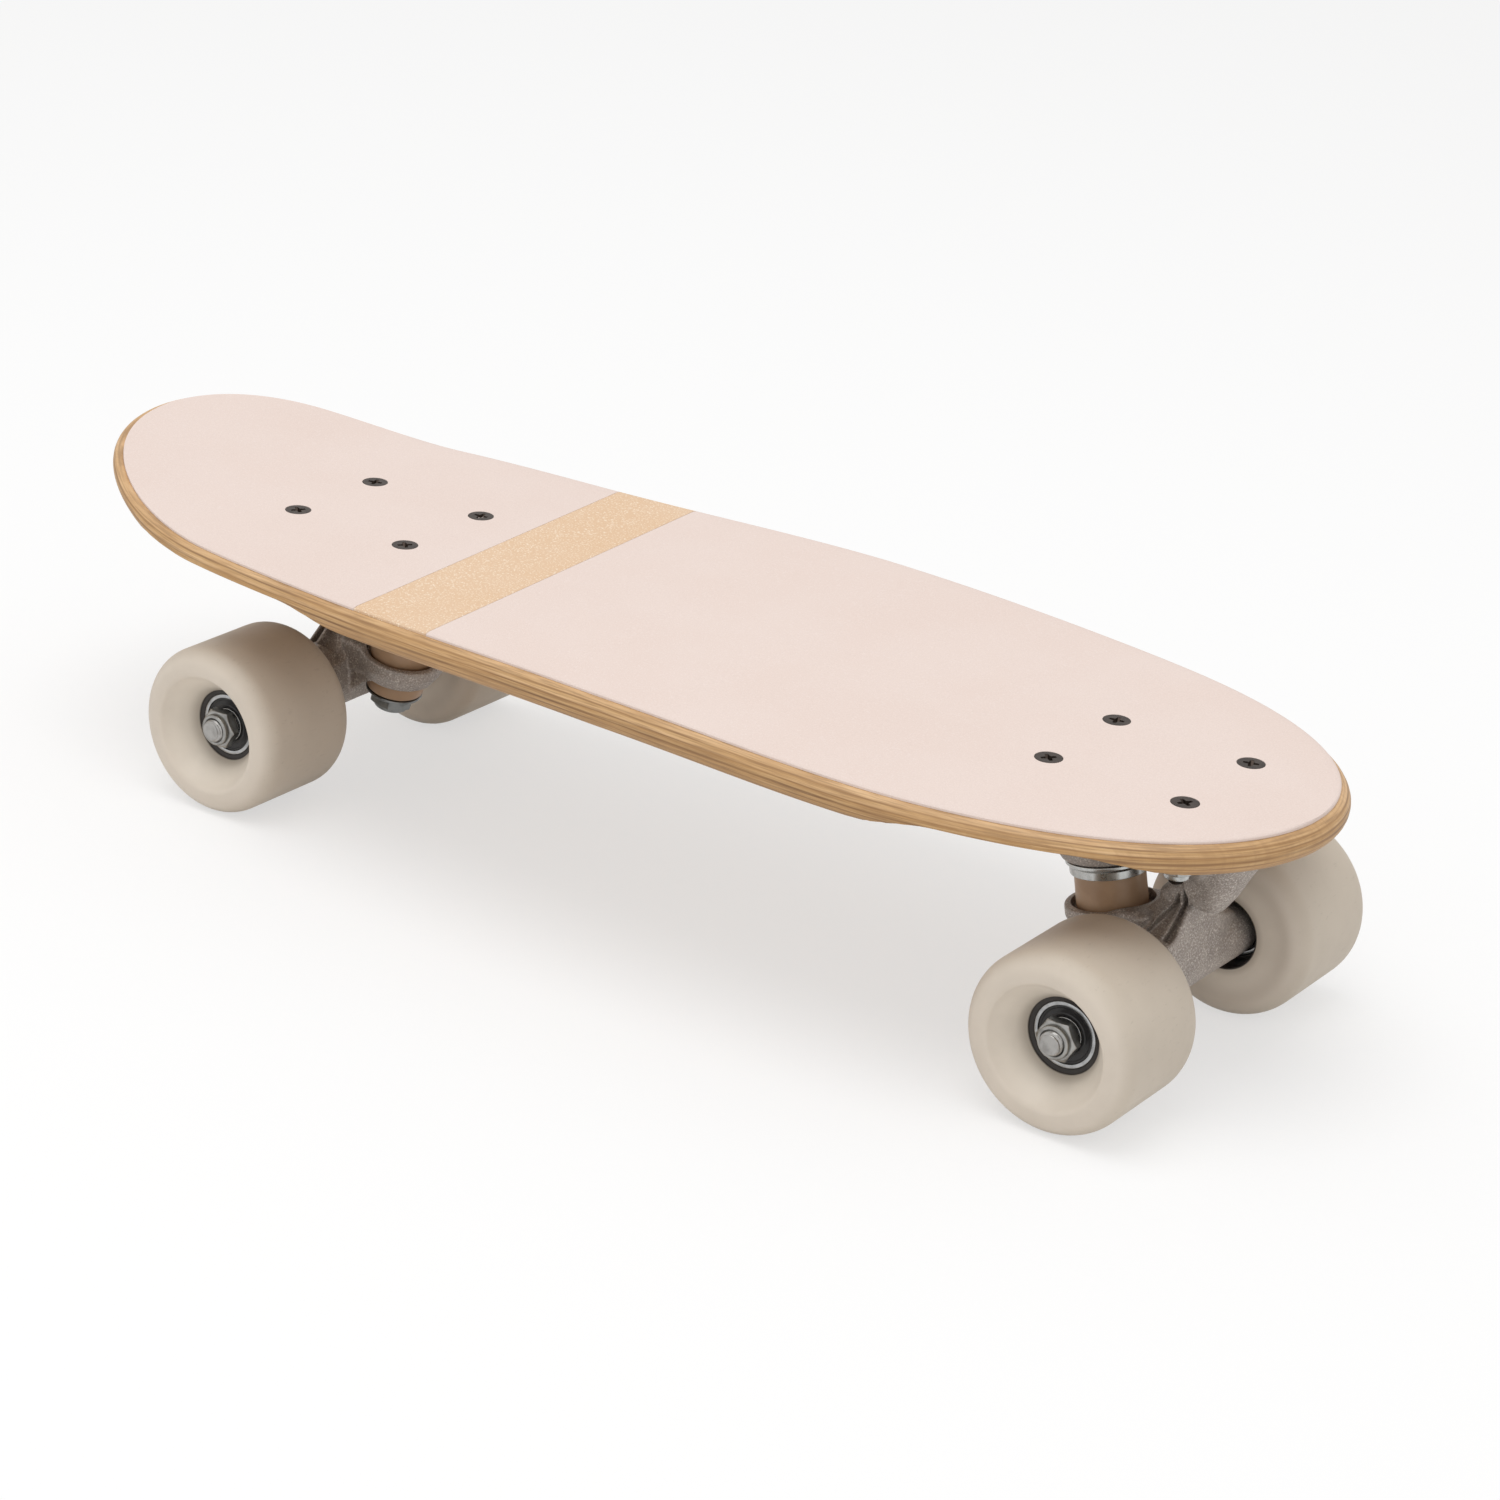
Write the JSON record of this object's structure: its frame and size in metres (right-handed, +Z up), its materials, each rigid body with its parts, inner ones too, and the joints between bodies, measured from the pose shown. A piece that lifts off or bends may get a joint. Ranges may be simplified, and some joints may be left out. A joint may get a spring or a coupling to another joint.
{
  "type": "cruiser skateboard",
  "caption": "Small cruiser skateboard with a kicked tail, rounded nose, pale grip sheet with a light band, cast steering trucks and soft wheels.",
  "frame": {"origin": "on the floor, under the middle of the deck's length and width", "axes": "+X to the nose, +Y to the left side of the board, +Z up"},
  "size_m": [0.4824, 0.174, 0.1115],
  "materials": {
    "deck_wood": "clear coated birch plywood, grain along the board, plies showing at the rounded edge",
    "pink_grip": "fine gritted grip sheet, pale pink, matte",
    "light_band": "gritted band, light tan with pale grains",
    "dark_bolt": "dark brown-black finish, satin",
    "zinc": "bright zinc plate",
    "steel": "plain steel, satin",
    "cast_aluminium": "sand cast and tumbled, fine grain",
    "brown_urethane": "soft moulded urethane, satin",
    "grey_wheel": "moulded urethane wheel, warm pale grey, satin",
    "bearing": "steel rings with black rubber seals",
    "dark_plastic": "tough nylon, matte"
  },
  "bodies": {
    "deck_body": {"deck": "deck_wood", "grip_tail": "pink_grip", "grip_band": "light_band", "grip_front": "pink_grip", "deck_bolt_front_outer_left": "dark_bolt", "deck_bolt_front_outer_right": "dark_bolt", "deck_bolt_front_inner_left": "dark_bolt", "deck_bolt_front_inner_right": "dark_bolt", "deck_bolt_rear_outer_left": "dark_bolt", "deck_bolt_rear_outer_right": "dark_bolt", "deck_bolt_rear_inner_left": "dark_bolt", "deck_bolt_rear_inner_right": "dark_bolt", "deck_nut_front_outer_left": "zinc", "deck_nut_front_outer_right": "zinc", "deck_nut_front_inner_left": "zinc", "deck_nut_front_inner_right": "zinc", "deck_nut_rear_outer_left": "zinc", "deck_nut_rear_outer_right": "zinc", "deck_nut_rear_inner_left": "zinc", "deck_nut_rear_inner_right": "zinc", "baseplate_front": "cast_aluminium", "kingpin_front": "steel", "kingpin_nut_front": "zinc", "pivot_cup_front": "dark_plastic", "bushing_top_front": "brown_urethane", "bushing_bottom_front": "brown_urethane", "washer_top_front": "zinc", "washer_bottom_front": "zinc", "baseplate_rear": "cast_aluminium", "kingpin_rear": "steel", "kingpin_nut_rear": "zinc", "pivot_cup_rear": "dark_plastic", "bushing_top_rear": "brown_urethane", "bushing_bottom_rear": "brown_urethane", "washer_top_rear": "zinc", "washer_bottom_rear": "zinc"},
    "front_hanger": {"hanger_front": "cast_aluminium", "axle_front": "steel", "speed_washer_front_left": "zinc", "axle_nut_front_left": "zinc", "speed_washer_front_right": "zinc", "axle_nut_front_right": "zinc"},
    "rear_hanger": {"hanger_rear": "cast_aluminium", "axle_rear": "steel", "speed_washer_rear_left": "zinc", "axle_nut_rear_left": "zinc", "speed_washer_rear_right": "zinc", "axle_nut_rear_right": "zinc"},
    "wheel_front_left_body": {"wheel_front_left": "grey_wheel", "bearing_inboard_front_left": "bearing", "bearing_outboard_front_left": "bearing"},
    "wheel_front_right_body": {"wheel_front_right": "grey_wheel", "bearing_inboard_front_right": "bearing", "bearing_outboard_front_right": "bearing"},
    "wheel_rear_left_body": {"wheel_rear_left": "grey_wheel", "bearing_inboard_rear_left": "bearing", "bearing_outboard_rear_left": "bearing"},
    "wheel_rear_right_body": {"wheel_rear_right": "grey_wheel", "bearing_inboard_rear_right": "bearing", "bearing_outboard_rear_right": "bearing"}
  },
  "joints": [
    {"name": "front_steer", "type": "hinge", "parent": "deck_body", "child": "front_hanger", "pos_m": [0.17055, 0, 0.0415], "axis": [0.848, 0, 0.53], "range_deg": [-15, 15], "stiffness_Nm_per_rad": 30, "deforming": ["bushing_top_front", "bushing_bottom_front"]},
    {"name": "rear_steer", "type": "hinge", "parent": "deck_body", "child": "rear_hanger", "pos_m": [-0.12615, 0, 0.0415], "axis": [-0.848, 0, 0.53], "range_deg": [-15, 15], "stiffness_Nm_per_rad": 30, "deforming": ["bushing_top_rear", "bushing_bottom_rear"]},
    {"name": "front_left_spin", "type": "hinge", "parent": "front_hanger", "child": "wheel_front_left_body", "pos_m": [0.19345, 0, 0.03], "axis": [0, 1, 0], "continuous": true},
    {"name": "front_right_spin", "type": "hinge", "parent": "front_hanger", "child": "wheel_front_right_body", "pos_m": [0.19345, 0, 0.03], "axis": [0, 1, 0], "continuous": true},
    {"name": "rear_left_spin", "type": "hinge", "parent": "rear_hanger", "child": "wheel_rear_left_body", "pos_m": [-0.14905, 0, 0.03], "axis": [0, 1, 0], "continuous": true},
    {"name": "rear_right_spin", "type": "hinge", "parent": "rear_hanger", "child": "wheel_rear_right_body", "pos_m": [-0.14905, 0, 0.03], "axis": [0, 1, 0], "continuous": true}
  ]
}
